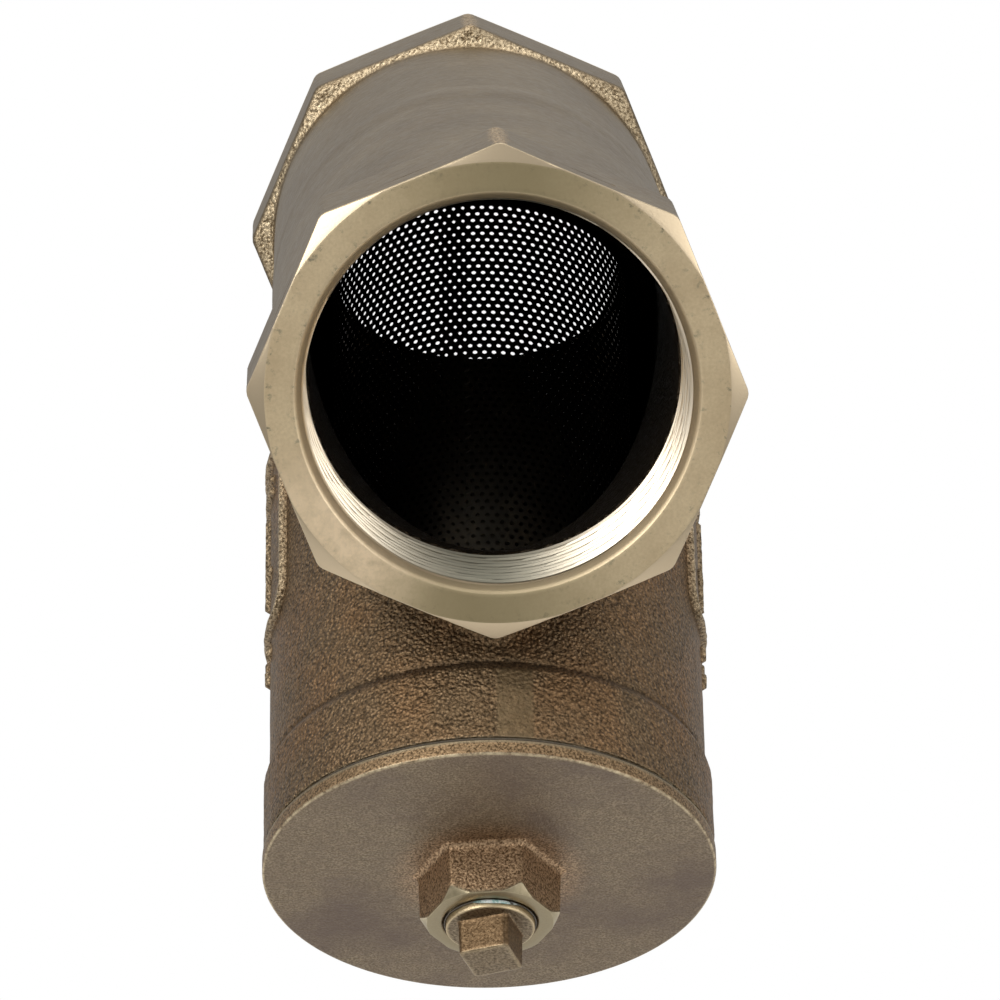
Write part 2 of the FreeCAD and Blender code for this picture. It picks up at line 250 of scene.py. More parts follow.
def outside_distance(points):
    """Distance to the casting's outside: run, octagons and leg, blended together."""
    from_outlet, from_inlet, radius = run_coordinates(points)
    octagon = octagon_distance(points)
    run = radius - RUN_RADIUS
    outlet = smooth_max(octagon, from_outlet - OUTLET_OCTAGON, 1.2)
    inlet = smooth_max(octagon, from_inlet - INLET_OCTAGON, 1.2)
    run = smooth_min(smooth_min(run, outlet, 1.6), inlet, 1.6)
    along, across, leg_radius = leg_coordinates(points)
    leg = np.hypot(np.minimum(along, 0), leg_radius) - LEG_RADIUS
    # The fillet is only as wide as the two surfaces meet at an angle.
    facing = points[..., 0] ** 2 + across * TILT * points[..., 2]
    facing = facing / np.maximum(radius * leg_radius, 1)
    width = 3.5 * np.clip((1 - facing) / 0.9, 0.03, 1)
    return smooth_min(run, leg, width)


def hollow_distance(points):
    """Distance to the casting's inside: ports, chambers, seat and the cap's bore."""
    from_outlet, from_inlet, radius = run_coordinates(points)
    along, _, leg_radius = leg_coordinates(points)
    chamber = smooth_max(radius - CHAMBER_RADIUS, SEAT_FACE - along, 0.5)
    hollow = smooth_min(chamber, np.maximum(leg_radius - CHAMBER_RADIUS, SEAT_FACE - along), 3.0)
    inlet = smooth_max(radius - INLET_RADIUS, along - SEAT_BACK, 0.5)
    hollow = np.minimum(hollow, inlet)
    middle = (SEAT_FACE + SEAT_BACK) / 2
    seat = np.maximum(leg_radius - SEAT_HOLE_RADIUS, np.abs(along - middle) - 3.0)
    past_recess = np.maximum(SEAT_RECESS_END - along, along - SEAT_FACE - 1)
    recess = np.maximum(leg_radius - SEAT_RECESS_RADIUS, past_recess)
    hollow = np.minimum(np.minimum(hollow, seat), recess)
    for depth in (from_outlet, from_inlet):
        hollow = np.minimum(hollow, np.maximum(radius - SLEEVE_RADIUS, depth - THREAD_END - 0.6))
    return hollow


def shell_distance(points):
    """Distance to the cast shell, which stops where the port rings and the collar's end begin."""
    along = leg_coordinates(points)[0]
    from_outlet, from_inlet, _ = run_coordinates(points)
    shell = np.maximum(outside_distance(points), -hollow_distance(points))
    depth = np.minimum(from_outlet, from_inlet)
    ring = np.maximum(depth - PORT_RING, octagon_distance(points) - NEAR_OCTAGON)
    shell = np.maximum(shell, -ring)
    return np.maximum(shell, along - COLLAR_RING)


# ---- Meshing ----
def gradient(distance, points, reach=0.04):
    """Which way, and how fast, a distance grows at each point."""
    slopes = []
    for axis in range(3):
        step = np.zeros(3)
        step[axis] = reach
        slopes.append((distance(points + step) - distance(points - step)) / (2 * reach))
    return np.stack(slopes, axis=-1)


def pull_to(distance, points, rounds=3):
    """Move points onto the surface where a distance is zero."""
    for _ in range(rounds):
        slope = gradient(distance, points)
        square = np.maximum((slope * slope).sum(-1), 0.05)
        points = points - slope * (distance(points) / square)[:, None]
    return points


def surface_net(distance, low, high, step):
    """An even quad mesh of the surface where a distance is zero."""
    axes = [np.arange(low[axis], high[axis] + step, step) for axis in range(3)]
    shape = tuple(len(axis) for axis in axes)
    values = np.empty(shape)
    for index, x in enumerate(axes[0]):
        y, z = np.meshgrid(axes[1], axes[2], indexing="ij")
        values[index] = distance(np.stack([np.full_like(y, x), y, z], axis=-1))
    inside = values < 0
    cells = tuple(size - 1 for size in shape)
    filled = np.zeros(cells, np.int8)
    for corner in np.ndindex(2, 2, 2):
        window = tuple(slice(c, c + size) for c, size in zip(corner, cells))
        filled += inside[window]
    mixed = (filled > 0) & (filled < 8)
    number = np.full(cells, -1, np.int64)
    number[mixed] = np.arange(mixed.sum())
    where = np.argwhere(mixed)
    total = np.zeros((len(where), 3))
    count = np.zeros(len(where))
    for axis, others in enumerate(OTHER_AXES):
        for pair in np.ndindex(2, 2):
            start = where.copy()
            start[:, others] += pair
            end = start.copy()
            end[:, axis] += 1
            first = values[tuple(start.T)]
            second = values[tuple(end.T)]
            crossed = (first < 0) != (second < 0)
            part = first[crossed] / (first[crossed] - second[crossed])
            place = start[crossed].astype(float)
            place[:, axis] += part
            total[crossed] += place
            count[crossed] += 1
    points = np.array(low) + total / count[:, None] * step
    quads = []
    for axis, others in enumerate(OTHER_AXES):
        edge = np.argwhere(np.diff(inside, axis=axis))
        last = np.array(shape)[others] - 1
        edge = edge[((edge[:, others] > 0) & (edge[:, others] < last)).all(axis=1)]
        ring = []
        for back in ((1, 1), (0, 1), (0, 0), (1, 0)):
            cell = edge.copy()
            cell[:, others] -= back
            ring.append(number[tuple(cell.T)])
        quad = np.stack(ring, axis=-1)
        turned = inside[tuple(edge.T)] ^ (axis == 1)
        quad[~turned] = quad[~turned][:, ::-1]
        quads.append(quad)
    return points, np.concatenate(quads)


def loft(rings, closed=False):
    """Quads between rings of equal point counts; closed joins the last ring to the first."""
    rings = np.asarray(rings)
    rows, count = rings.shape[:2]
    quads = []
    column = np.arange(count)
    following = (column + 1) % count
    for row in range(rows if closed else rows - 1):
        low, high = row * count, (row + 1) % rows * count
        quads.append(np.stack([low + column, low + following, high + following, high + column], 1))
    return rings.reshape(-1, 3), np.concatenate(quads)


def facing_out(points, faces):
    """The faces of a closed solid, turned over if they face inwards."""
    volume = 0.0
    for group in faces:
        first = points[group[:, 0]]
        for corner in range(1, group.shape[1] - 1):
            second, third = points[group[:, corner]], points[group[:, corner + 1]]
            volume += np.einsum("ij,ij->", first, np.cross(second, third))
    return [group[:, ::-1] for group in faces] if volume < 0 else faces


def make_mesh(name, points, faces, material, sharp=None):
    """A mesh in metres from points in millimetres and a list of arrays of corner indices."""
    mesh = bpy.data.meshes.new(name)
    corners = np.concatenate([group.ravel() for group in faces])
    sizes = np.concatenate([np.full(len(group), group.shape[1]) for group in faces])
    mesh.vertices.add(len(points))
    mesh.vertices.foreach_set("co", (points * MM).astype(np.float32).ravel())
    mesh.loops.add(len(corners))
    mesh.loops.foreach_set("vertex_index", corners.astype(np.int32))
    mesh.polygons.add(len(sizes))
    starts = np.concatenate([[0], np.cumsum(sizes)[:-1]]).astype(np.int32)
    mesh.polygons.foreach_set("loop_start", starts)
    mesh.update(calc_edges=True)
    mesh.validate()
    mesh.polygons.foreach_set("use_smooth", np.ones(len(mesh.polygons), bool))
    if sharp:
        mesh.set_sharp_from_angle(angle=math.radians(sharp))
    mesh.materials.append(material)
    return add_object(name, mesh)


def add_object(name, data):
    """A new object in the scene that shows this data."""
    item = bpy.data.objects.new(name, data)
    bpy.context.scene.collection.objects.link(item)
    return item


def read_all(items, key, kind, width=1):
    """One property of every item, as a flat array."""
    values = np.empty(len(items) * width, kind)
    items.foreach_get(key, values)
    return values


def points_of(piece):
    points = read_all(piece.data.vertices, "co", np.float32, 3)
    return points.reshape(-1, 3).astype(float) / MM


def paint(piece, **marks):
    """Numbers at each point that a material reads by name."""
    for name, values in marks.items():
        attribute = piece.data.attributes.new(name, "FLOAT", "POINT")
        attribute.data.foreach_set("value", values.astype(np.float32))


def settle(piece, body, slot, *nodes):
    """The piece's body, and any CAD nodes that it stands in for; slot is not used."""
    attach(piece, body)
    if nodes:
        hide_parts(*nodes)


# ---- Materials ----
class Shader:
    """A short way to write a Principled material's nodes."""

    def __init__(self, name, metallic=1.0, roughness=0.5):
        self.material = bpy.data.materials.new(name)
        self.material.use_nodes = True
        self.tree = self.material.node_tree
        self.surface = self.tree.nodes["Principled BSDF"]
        self.surface.inputs["Metallic"].default_value = metallic
        self.surface.inputs["Roughness"].default_value = roughness
        self.place = self.node("ShaderNodeTexCoord").outputs["Object"]

    def node(self, kind, **settings):
        made = self.tree.nodes.new(kind)
        for key, value in settings.items():
            setattr(made, key, value)
        return made

    def feed(self, socket, value):
        if isinstance(value, bpy.types.NodeSocket):
            self.tree.links.new(value, socket)
        else:
            socket.default_value = value

    def noise(self, size, detail=3.0, roughness=0.55):
        """Noise with lumps about size millimetres across."""
        made = self.node("ShaderNodeTexNoise")
        self.feed(made.inputs["Vector"], self.place)
        made.inputs["Scale"].default_value = 1 / (size * MM)
        made.inputs["Detail"].default_value = detail
        made.inputs["Roughness"].default_value = roughness
        return made.outputs["Fac"]

    def cells(self, size):
        """Distance to the middle of the nearest of cells about size millimetres across."""
        made = self.node("ShaderNodeTexVoronoi")
        self.feed(made.inputs["Vector"], self.place)
        made.inputs["Scale"].default_value = 1 / (size * MM)
        return made.outputs["Distance"]

    def painted(self, name):
        """A number painted on the mesh, 0 where it isn't."""
        return self.node("ShaderNodeAttribute", attribute_name=name).outputs["Fac"]

    def ramp(self, value, *stops):
        """Colours or numbers between two (position, colour) stops."""
        made = self.node("ShaderNodeValToRGB")
        self.feed(made.inputs["Fac"], value)
        for element, (position, colour) in zip(made.color_ramp.elements, stops):
            element.position = position
            if not isinstance(colour, tuple):
                colour = (colour, colour, colour)
            element.color = (*colour, 1)
        return made.outputs["Color"]

    def line(self, value, slope, start=0.0):
        """A number times slope, plus start."""
        made = self.node("ShaderNodeMath", operation="MULTIPLY_ADD")
        for socket, number in zip(made.inputs, (value, slope, start)):
            self.feed(socket, number)
        return made.outputs["Value"]

    def mix(self, part, first, second, blend="MIX"):
        """Two colours mixed by a number, or by a painted number given by its name."""
        made = self.node("ShaderNodeMix", data_type="RGBA", blend_type=blend)
        self.feed(made.inputs["Factor"], self.painted(part) if isinstance(part, str) else part)
        for socket, value in ((made.inputs[6], first), (made.inputs[7], second)):
            if isinstance(value, tuple):
                value = (*value, 1)
            self.feed(socket, value)
        return made.outputs[2]

    def layers(self, colour, *overs):
        """A colour with others laid over it, each given with where it lies."""
        for where, over in overs:
            colour = self.mix(where, colour, over)
        return colour

    def patches(self, size, detail, roughness, low, high):
        """Noise cut into patches between two (position, colour) stops."""
        return self.ramp(self.noise(size, detail, roughness), low, high)

    def bump(self, height, depth, strength=1.0, normal=None):
        """Bump whose full height is depth millimetres."""
        made = self.node("ShaderNodeBump")
        self.feed(made.inputs["Height"], height)
        made.inputs["Distance"].default_value = depth * MM
        self.feed(made.inputs["Strength"], strength)
        if normal:
            self.feed(made.inputs["Normal"], normal)
        return made.outputs["Normal"]

    def finish(self, colour, roughness=None, normal=None):
        self.feed(self.surface.inputs["Base Color"], colour)
        if roughness is not None:
            self.feed(self.surface.inputs["Roughness"], roughness)
        if normal is not None:
            self.feed(self.surface.inputs["Normal"], normal)
        return self.material


def casting_material():
    """Sand-cast bronze: rough brown with coppery grains and painted glints where 'grain' is 1, satin grey
    where 0, and painted shade inside and in the collar's crease.
    """
    shader = Shader("cast_bronze", metallic=0.9)
    grain = shader.painted("grain")
    fine = shader.noise(0.48, 2.0, 0.6)
    lumps = shader.noise(1.6, 3.0, 0.6)
    cloud = shader.noise(22, 4.0, 0.6)
    pebbles = shader.cells(0.64)
    rough = shader.layers(
        shader.ramp(fine, (0.34, (0.042, 0.026, 0.013)), (0.64, (0.27, 0.175, 0.093))),
        (shader.line(cloud, 0.5), (0.095, 0.064, 0.033)),
        # Painted glints: lighter colour at the middle of each pebble.
        (shader.line(shader.ramp(pebbles, (0.10, 1.0), (0.42, 0.0)), 0.5), (0.46, 0.32, 0.185)),
    )
    warm = shader.patches(13, 3.0, 0.6, (0.42, 0.0), (0.66, 0.4))
    rough = shader.mix(warm, rough, (1.5, 1.22, 1.0), "MULTIPLY")
    satin = shader.ramp(cloud, (0.3, (0.160, 0.125, 0.079)), (0.7, (0.234, 0.187, 0.120)))
    stain = shader.patches(3.0, 5.0, 0.7, (0.35, 0.0), (0.62, 1.0))
    granular = shader.ramp(fine, (0.36, (0.22, 0.155, 0.085)), (0.60, (0.76, 0.62, 0.41)))
    ochre = shader.patches(0.9, 3.0, 0.55, (0.3, (0.125, 0.082, 0.036)), (0.7, (0.24, 0.163, 0.078)))
    colour = shader.layers(
        satin,
        (shader.line(stain, 0.40), (0.130, 0.098, 0.062)),
        (grain, rough),
        ("gold", granular),
        ("ground", ochre),
        ("bright", (0.60, 0.50, 0.33)),
        # Painted shade: near black inside the body, and darker in the crease above the collar.
        ("painted_shade", (0.045, 0.033, 0.021)),
    )
    height = shader.line(pebbles, -0.9, shader.line(lumps, 0.8, fine))
    normal = shader.bump(height, 0.24, shader.line(grain, 0.92, 0.05))
    normal = shader.bump(shader.noise(7, 3.0), 0.25, 0.35, normal)
    return shader.finish(colour, shader.line(lumps, 0.25, 0.34), normal)


def machined_material():
    """Turned bronze at the ports: pale, with fine marks, pits and faint green stains; painted shade at
    the top and bottom of the face and thread, and a painted highlight at the lower left.
    """
    shader = Shader("machined_bronze", metallic=1.0)
    bright = shader.painted("bright")
    cloud = shader.noise(9, 5.0, 0.65)
    grit = shader.patches(0.5, 2.0, 0.6, (0.35, 0.0), (0.65, 1.0))
    spots = shader.patches(1.4, 6.0, 0.75, (0.55, 0.0), (0.66, 1.0))
    stain = shader.line(spots, shader.painted("edge"))
    wear_and_highlight = shader.patches(2.5, 5.0, 0.7, (0.30, 0.35), (0.60, 1.0))
    # The thread is painted pale at its sides and darker at its top and bottom: painted light and shade.
    thread = shader.mix("sheen_shade", (0.94, 0.82, 0.64), (0.22, 0.22, 0.17))
    colour = shader.layers(
        shader.ramp(cloud, (0.3, (0.66, 0.52, 0.325)), (0.7, (0.84, 0.69, 0.45))),
        (shader.line(grit, 0.3), (0.56, 0.43, 0.26)),
        (shader.line(stain, 0.75), (0.12, 0.13, 0.10)),
        # Painted shade: darker wedges at the top and bottom of the face, standing in for the turned
        # face's sheen.
        ("sheen_shade", (0.34, 0.28, 0.155)),
        # A painted highlight, broken into patches, at the lower left of the face.
        (shader.line(wear_and_highlight, shader.painted("wear_and_highlight")), (0.99, 0.80, 0.55)),
        (bright, (0.65, 0.525, 0.355)),
        ("bore", thread),
    )
    normal = shader.bump(shader.noise(0.35, 2.0), 0.02, 0.6)
    return shader.finish(colour, shader.line(bright, -0.20, 0.56), normal)


def cap_material():
    """Fine sand-cast bronze: browner on the rim and coppery round the boss, with painted glints on the
    rim's grains and a pale painted highlight, with wear, along the edges.
    """
    shader = Shader("cap_bronze", metallic=0.9)
    bright = shader.painted("bright")
    fine = shader.noise(0.34, 2.0, 0.6)
    cloud = shader.noise(14, 5.0, 0.65)
    pebbles = shader.cells(0.7)
    mottle = shader.patches(1.7, 4.0, 0.7, (0.38, 0.0), (0.64, 1.0))
    bruise = shader.patches(26, 3.0, 0.6, (0.45, 0.0), (0.66, 0.7))
    brown = shader.layers(
        shader.ramp(fine, (0.36, (0.075, 0.046, 0.022)), (0.62, (0.36, 0.24, 0.13))),
        # Painted glints: lighter colour at the middle of each pebble.
        (shader.line(shader.ramp(pebbles, (0.10, 1.0), (0.42, 0.0)), 0.45), (0.46, 0.32, 0.18)),
    )
    reddish = shader.ramp(fine, (0.36, (0.125, 0.072, 0.036)), (0.62, (0.54, 0.365, 0.215)))
    wear_and_highlight = shader.patches(1.3, 3.0, 0.7, (0.36, 0.15), (0.60, 1.0))
    colour = shader.layers(
        shader.ramp(fine, (0.38, (0.145, 0.110, 0.066)), (0.60, (0.36, 0.285, 0.19))),
        (shader.line(mottle, 0.45), (0.165, 0.118, 0.080)),
        (shader.line(cloud, 0.5), (0.215, 0.160, 0.112)),
        (bruise, (0.145, 0.105, 0.085)),
        ("rim", brown),
        ("copper", reddish),
        (bright, (0.36, 0.30, 0.185)),
        # Pale patches along the rim's rounded edge and the boss's chamfer: painted highlight and wear.
        (shader.line(wear_and_highlight, shader.painted("edge")), (0.78, 0.65, 0.43)),
    )
    height = shader.line(pebbles, -0.5, fine)
    normal = shader.bump(height, 0.10, shader.line(bright, -0.8, 0.9))
    return shader.finish(colour, shader.line(bright, -0.12, 0.46), normal)


def plug_material():
    """Brown cast head on a turned, brighter shank; grey and rough where 'grey' is 1."""
    shader = Shader("plug_bronze", metallic=1.0)
    fine = shader.noise(0.4, 3.0, 0.6)
    cloud = shader.noise(3.0, 4.0, 0.6)
    grey = shader.ramp(fine, (0.36, (0.115, 0.084, 0.050)), (0.62, (0.31, 0.24, 0.155)))
    colour = shader.layers(
        shader.ramp(fine, (0.36, (0.10, 0.062, 0.032)), (0.62, (0.30, 0.205, 0.115))),
        (shader.line(cloud, 0.4), (0.21, 0.125, 0.062)),
        ("grey", grey),
        # Brighter on the turned shank, and a painted highlight on the head's top edge.
        ("bright", (0.66, 0.53, 0.33)),
    )
    return shader.finish(colour, shader.line(cloud, 0.2, 0.34), shader.bump(fine, 0.09, 0.8))


def screen_material():
    """Dull stainless sheet, painted darker for the shade it sits in inside the body."""
    shader = Shader("screen_steel", metallic=1.0, roughness=0.30)
    cloud = shader.noise(6, 4.0)
    colour = shader.ramp(cloud, (0.3, (0.10, 0.095, 0.085)), (0.7, (0.17, 0.16, 0.14)))
    return shader.finish(colour, None, shader.bump(shader.noise(0.3, 2.0), 0.01, 0.5))


def gasket_material():
    """Dark brown fibre."""
    shader = Shader("gasket_fibre", metallic=0.0, roughness=0.8)
    fibre = shader.noise(0.5, 4.0, 0.7)
    colour = shader.ramp(fibre, (0.3, (0.045, 0.034, 0.022)), (0.7, (0.11, 0.086, 0.056)))
    return shader.finish(colour, None, shader.bump(fibre, 0.05, 0.8))


def sealant_material():
    """Jointing compound: deep grey, with white and teal on the arc facing the outlet."""
    shader = Shader("thread_sealant", metallic=0.0, roughness=0.45)
    cloud = shader.noise(1.1, 4.0, 0.6)
    pale_compound = shader.ramp(cloud, (0.42, (0.22, 0.42, 0.38)), (0.56, (0.72, 0.76, 0.72)))
    streak = shader.patches(0.8, 3.0, 0.6, (0.36, 1.0), (0.44, 0.0))
    pale_compound = shader.mix(streak, pale_compound, (0.03, 0.028, 0.022))
    # White and teal only on the arc that faces the outlet; deep grey elsewhere.
    colour = shader.mix("fresh", (0.085, 0.070, 0.050), pale_compound)
    return shader.finish(colour, None, shader.bump(shader.noise(0.4, 3.0), 0.08, 0.8))


def floor_material():
    shader = Shader("pale_floor", metallic=0.0, roughness=0.9)
    grit = shader.noise(40, 2.0)
    colour = shader.ramp(grit, (0.3, 0.70), (0.7, 0.74))
    return shader.finish(colour)


# ---- The casting ----
def casting_masks(points):
    """How rough, golden and ground the casting is at each point, and where shade is painted on it."""
    x, z = points[:, 0], points[:, 2]
    along, across, leg_radius = leg_coordinates(points)
    from_outlet, from_inlet, radius = run_coordinates(points)
    inside = smooth_step(-0.6, -1.6, outside_distance(points))
    on_leg = smooth_step(LEG_RADIUS + 2.5, LEG_RADIUS + 0.8, leg_radius)
    on_leg = on_leg * smooth_step(20, 45, along - z * 0.2)
    gold = np.zeros(len(points))
    for depth, octagon in ((from_inlet, INLET_OCTAGON), (from_outlet, OUTLET_OCTAGON)):
        front = smooth_step(octagon - 0.6, octagon + 0.2, depth)
        gold = np.maximum(gold, front * smooth_step(octagon + 2.6, octagon + 1.2, depth))
    gold = gold * smooth_step(RUN_RADIUS + 0.1, RUN_RADIUS + 0.5, radius)
    off_leg = np.hypot(np.minimum(along, 0), leg_radius) > LEG_RADIUS + 0.5
    gold = gold * (octagon_distance(points) < 0.8) * off_leg
    ridge = smooth_step(1.3, 0.7, np.abs(x)) * (z > RUN_RADIUS + 2.5)
    ridge = ridge * smooth_step(1.0, 2.0, from_outlet) * smooth_step(1.0, 2.0, from_inlet)
    under = smooth_step(-6, -24, z)
    off_patch = np.maximum(np.abs(x - 3.0) - 2.8, COLLAR_START + 0.8 - along)
    patch = smooth_step(0.3, -0.3, off_patch) * (across > 20)
    grain = np.clip(np.maximum.reduce([on_leg, gold, under * 0.9, inside, ridge]), 0.12, 1)
    # The crease above the collar and the inside of the body get painted shade.
    crease = smooth_step(1.3, 0.0, np.abs(along - COLLAR_START + 0.7)) * (leg_radius > LEG_RADIUS - 1)
    return {
        "grain": grain * (1 - 0.4 * patch),
        "gold": np.maximum(gold, ridge * 0.4),
        "painted_shade": np.maximum(inside, 0.45 * crease),
        "ground": 0.4 * patch,
    }


def make_shell(material):
    """The cast part of the body, all but the machined port faces and the leg's end."""
    beyond = CORNER_RADIUS + 1.3
    low, high = (-beyond, -180.0, -100.0), (beyond, -4.0, beyond)
    points, quads = surface_net(shell_distance, low, high, SHELL_STEP)
    points = pull_to(shell_distance, points)
    outer = np.abs(outside_distance(points)) < 0.3
    lumps = value_noise(points, 2.2, 3) * 0.05 + value_noise(points, 7.0, 5) * 0.08
    slope = gradient(outside_distance, points)
    masks = casting_masks(points)
    from_outlet, from_inlet, _ = run_coordinates(points)
    seam = np.minimum(from_outlet, from_inlet) - PORT_RING
    seam = np.minimum(seam, COLLAR_RING - leg_coordinates(points)[0])
    amount = lumps * outer * masks["grain"] * smooth_step(0.5, 3, seam)
    points = points + slope * amount[:, None]
    points = snap_to_planes(points)
    piece = make_mesh("casting_shell", points, [quads], material, sharp=50)
    paint(piece, **masks)
    settle(piece, "casting", "cast_bronze", "body_casting")


def snap_to_planes(points):
    """Points near the joint planes go exactly onto them, and onto the outside or bore there."""
    along = leg_coordinates(points)[0]
    on_run = octagon_distance(points) < NEAR_OCTAGON
    near = {
        "outlet": on_run & (np.abs(points[:, 1] - OUTLET_Y - PORT_RING) < SNAP_REACH),
        "inlet": on_run & (np.abs(points[:, 1] + PORT_RING) < SNAP_REACH),
        "collar": np.abs(along - COLLAR_RING) < SNAP_REACH,
    }
    for plane, chosen in near.items():
        place = points[chosen]
        for _ in range(4):
            outside = outside_distance(place)
            rim = np.abs(outside) < 0.8
            slope = gradient(outside_distance, place)
            place = place - slope * (outside * rim)[:, None]
            if plane == "outlet":
                place[:, 1] = OUTLET_Y + PORT_RING
            elif plane == "inlet":
                place[:, 1] = -PORT_RING
            else:
                excess = leg_coordinates(place)[0] - COLLAR_RING
                place = place - excess[:, None] * LEG_DIRECTION
        points[chosen] = place
    return points


def polygon_radius(turn, sides, apothem, corner, start=0.0):
    """A polygon's radius at an angle, its corners rounded; start is the angle of one corner."""
    half = math.pi / sides
    fold = np.abs(np.mod(turn - start, 2 * half) - half)
    flat = apothem / np.cos(fold)
    reach = (apothem - corner) / math.cos(half)
    off_corner = half - fold
    tangent = math.atan2(corner * math.sin(half), reach + corner * math.cos(half))
    inner = np.maximum(corner**2 - (reach * np.sin(off_corner)) ** 2, 0)
    rounded = reach * np.cos(off_corner) + np.sqrt(inner)
    return np.where(off_corner < tangent, rounded, flat)


def thread_profile(phase):
    """0 at a crest, 1 at a root, with flats on both."""
    ramp = np.abs(2 * np.mod(phase, 1) - 1)
    return np.clip((ramp - 0.10) / 0.80, 0, 1)


class Turned:
    """A solid made of rings round an axis, each ring with marks that its material reads."""

    def __init__(self, count, place):
        self.turn = np.arange(count) * TAU / count
        self.place = place
        self.rings = []
        self.marks = []
        self.last = None

    def ring(self, radius, along, **marks):
        """One ring; radius, along and marks may each be one number or one for each point."""
        self.last = (radius, along)
        even = np.zeros_like(self.turn)
        self.rings.append(self.place(along + even, radius + even, self.turn))
        self.marks.append({name: value + even for name, value in marks.items()})

    def run(self, radius, along, step, **marks):
        """Rings in even steps from the last one on."""
        first_radius, first_along = self.last
        wider, further = radius - first_radius, along - first_along
        length = max(np.max(np.hypot(wider, further)), 1e-3)
        count = max(1, int(round(length / step)))
        for part in np.arange(1, count + 1) / count:
            self.ring(first_radius + wider * part, first_along + further * part, **marks)

    def thread(self, start, step, count, pitch, base, height, fade=None, **marks):
        """Rings along a screw thread that stands height above (or below) its base radius."""
        for along in start + step * np.arange(count):
            rise = thread_profile(along / pitch - self.turn / TAU)
            if fade:
                rise = rise * fade(along)
            self.ring(base + height * rise, along, **marks)

    def build(self, name, material, sharp=32, closed=True):
        """A closed ring, or a solid with its two ends filled; the marks go onto its points."""
        rings = np.asarray(self.rings)
        points, quads = loft(rings, closed=closed)
        faces = [quads]
        if not closed:
            count = rings.shape[1]
            first = np.arange(count)
            last = len(points) - count + first
            points = np.concatenate([points, rings[[0, -1]].mean(axis=1)])
            low = np.full(count, len(points) - 2)
            high = np.full(count, len(points) - 1)
            faces.append(np.stack([np.roll(first, -1), first, low], 1))
            faces.append(np.stack([last, np.roll(last, -1), high], 1))
        piece = make_mesh(name, points, facing_out(points, faces), material, sharp=sharp)
        even = np.zeros_like(self.turn)
        for mark in dict.fromkeys(name for entry in self.marks for name in entry):
            rows = [entry.get(mark, even) for entry in self.marks]
            if not closed:
                rows.append([rows[0].mean(), rows[-1].mean()])
            paint(piece, **{mark: np.concatenate(rows)})
        return piece


def make_port(name, face_y, inward, materials):
    """A port's machined ring: thread, countersink, face, chamfer and the start of the flats."""

    def place(depth, radius, turn):
        y = face_y + inward * depth
        return np.stack([radius * np.cos(turn), y, radius * np.sin(turn)], axis=-1)

    port = Turned(360, place)
    octagon = polygon_radius(port.turn, 8, APOTHEM, CORNER_ROUND)
    mouth, crest_start, taper, root_depth = 30.62, 29.02, 0.3, 1.45
    start, end, length = THREAD_END + 0.2, THREAD_END + 0.5, THREAD_END - THREAD_START
    port.ring(SLEEVE_RADIUS, PORT_RING)
    port.ring(SLEEVE_RADIUS, end)
    port.ring(CHAMBER_RADIUS + 0.3, end, bright=0.6, bore=1.0)
    for depth in np.linspace(start, THREAD_START, int(length / THREAD_STEP) + 1):
        crest = crest_start - taper * (depth - THREAD_START) / length
        fade = smooth_step(0, 1.2, depth - THREAD_START + 0.4)
        cut = thread_profile(depth / THREAD_PITCH + inward * port.turn / TAU)
        port.ring(crest + root_depth * cut * fade, depth, bright=0.9, bore=1.0)
    for radius, depth, bright, edge in (
        (29.35, 1.9, 1.0, 0.0),
        (29.47, 1.75, 1.0, 0.0),
        (29.55, 1.62, 0.45, 0.0),
        (30.08, 0.62, 0.45, 0.0),
        (30.16, 0.52, 0.4, 0.0),
        (30.50, 0.06, 0.45, 0.6),
        (mouth, 0.0, 0.1, 0.8),
    ):
        port.ring(radius, depth, bright=bright, edge=edge)
    face_edge = np.minimum(FACE_CIRCLE, octagon - 0.12)
    for part in np.linspace(0.12, 0.92, 9):
        near_rim = smooth_step(0.45, 1.0, part) + smooth_step(0.35, 0.0, part) * 0.6
        port.ring(mouth + (face_edge - mouth) * part, 0.0, edge=near_rim)
    port.ring(face_edge - 0.05, 0.0, bright=0.1, edge=1.0)
    fall = np.maximum(octagon - FACE_CIRCLE, 0.12) * CHAMFER_SLOPE
    port.ring(face_edge + 0.03, 0.025, bright=1.0, edge=0.5)
    for part in (0.25, 0.5, 0.75):
        port.ring(face_edge + (octagon - face_edge) * part, fall * part, bright=1.0, edge=0.3)
    port.ring(octagon - 0.06, fall - 0.01, bright=1.0, edge=0.3)
    port.ring(octagon - 0.01, fall + 0.10, bright=0.6, edge=0.3)
    first_flat = len(port.rings) * len(port.turn)
    for part in np.linspace(0.12, 1.0, 8):
        port.ring(octagon, fall + 0.1 + (PORT_RING - fall - 0.1) * part)
    piece = port.build(name, materials[0])
    piece.data.materials.append(materials[1])
    use_second_from(piece, first_flat)
    points = points_of(piece)
    masks = casting_masks(points)
    masks["painted_shade"] = np.zeros(len(points))
    turn = np.arctan2(points[:, 2], points[:, 0])
    # Painted shade, strongest at the top and bottom of the face and thread.
    masks["sheen_shade"] = 0.85 * np.abs(np.sin(turn - SHEEN_SHADE_TURN)) ** 6
    # A painted highlight at the lower left of the port face.
    off_highlight = np.abs(np.mod(turn - HIGHLIGHT_TURN + math.pi, TAU) - math.pi)
    masks["wear_and_highlight"] = smooth_step(math.radians(34), math.radians(6), off_highlight)
    paint(piece, **masks)
    settle(piece, "casting", "cast_bronze")


def use_second_from(piece, first):
    """Faces whose corners all come after a point number take the second material."""
    mesh = piece.data
    corners = read_all(mesh.loops, "vertex_index", np.int32)
    starts = read_all(mesh.polygons, "loop_start", np.int32)
    lowest = np.minimum.reduceat(corners, starts)
    mesh.polygons.foreach_set("material_index", (lowest >= first).astype(np.int32))


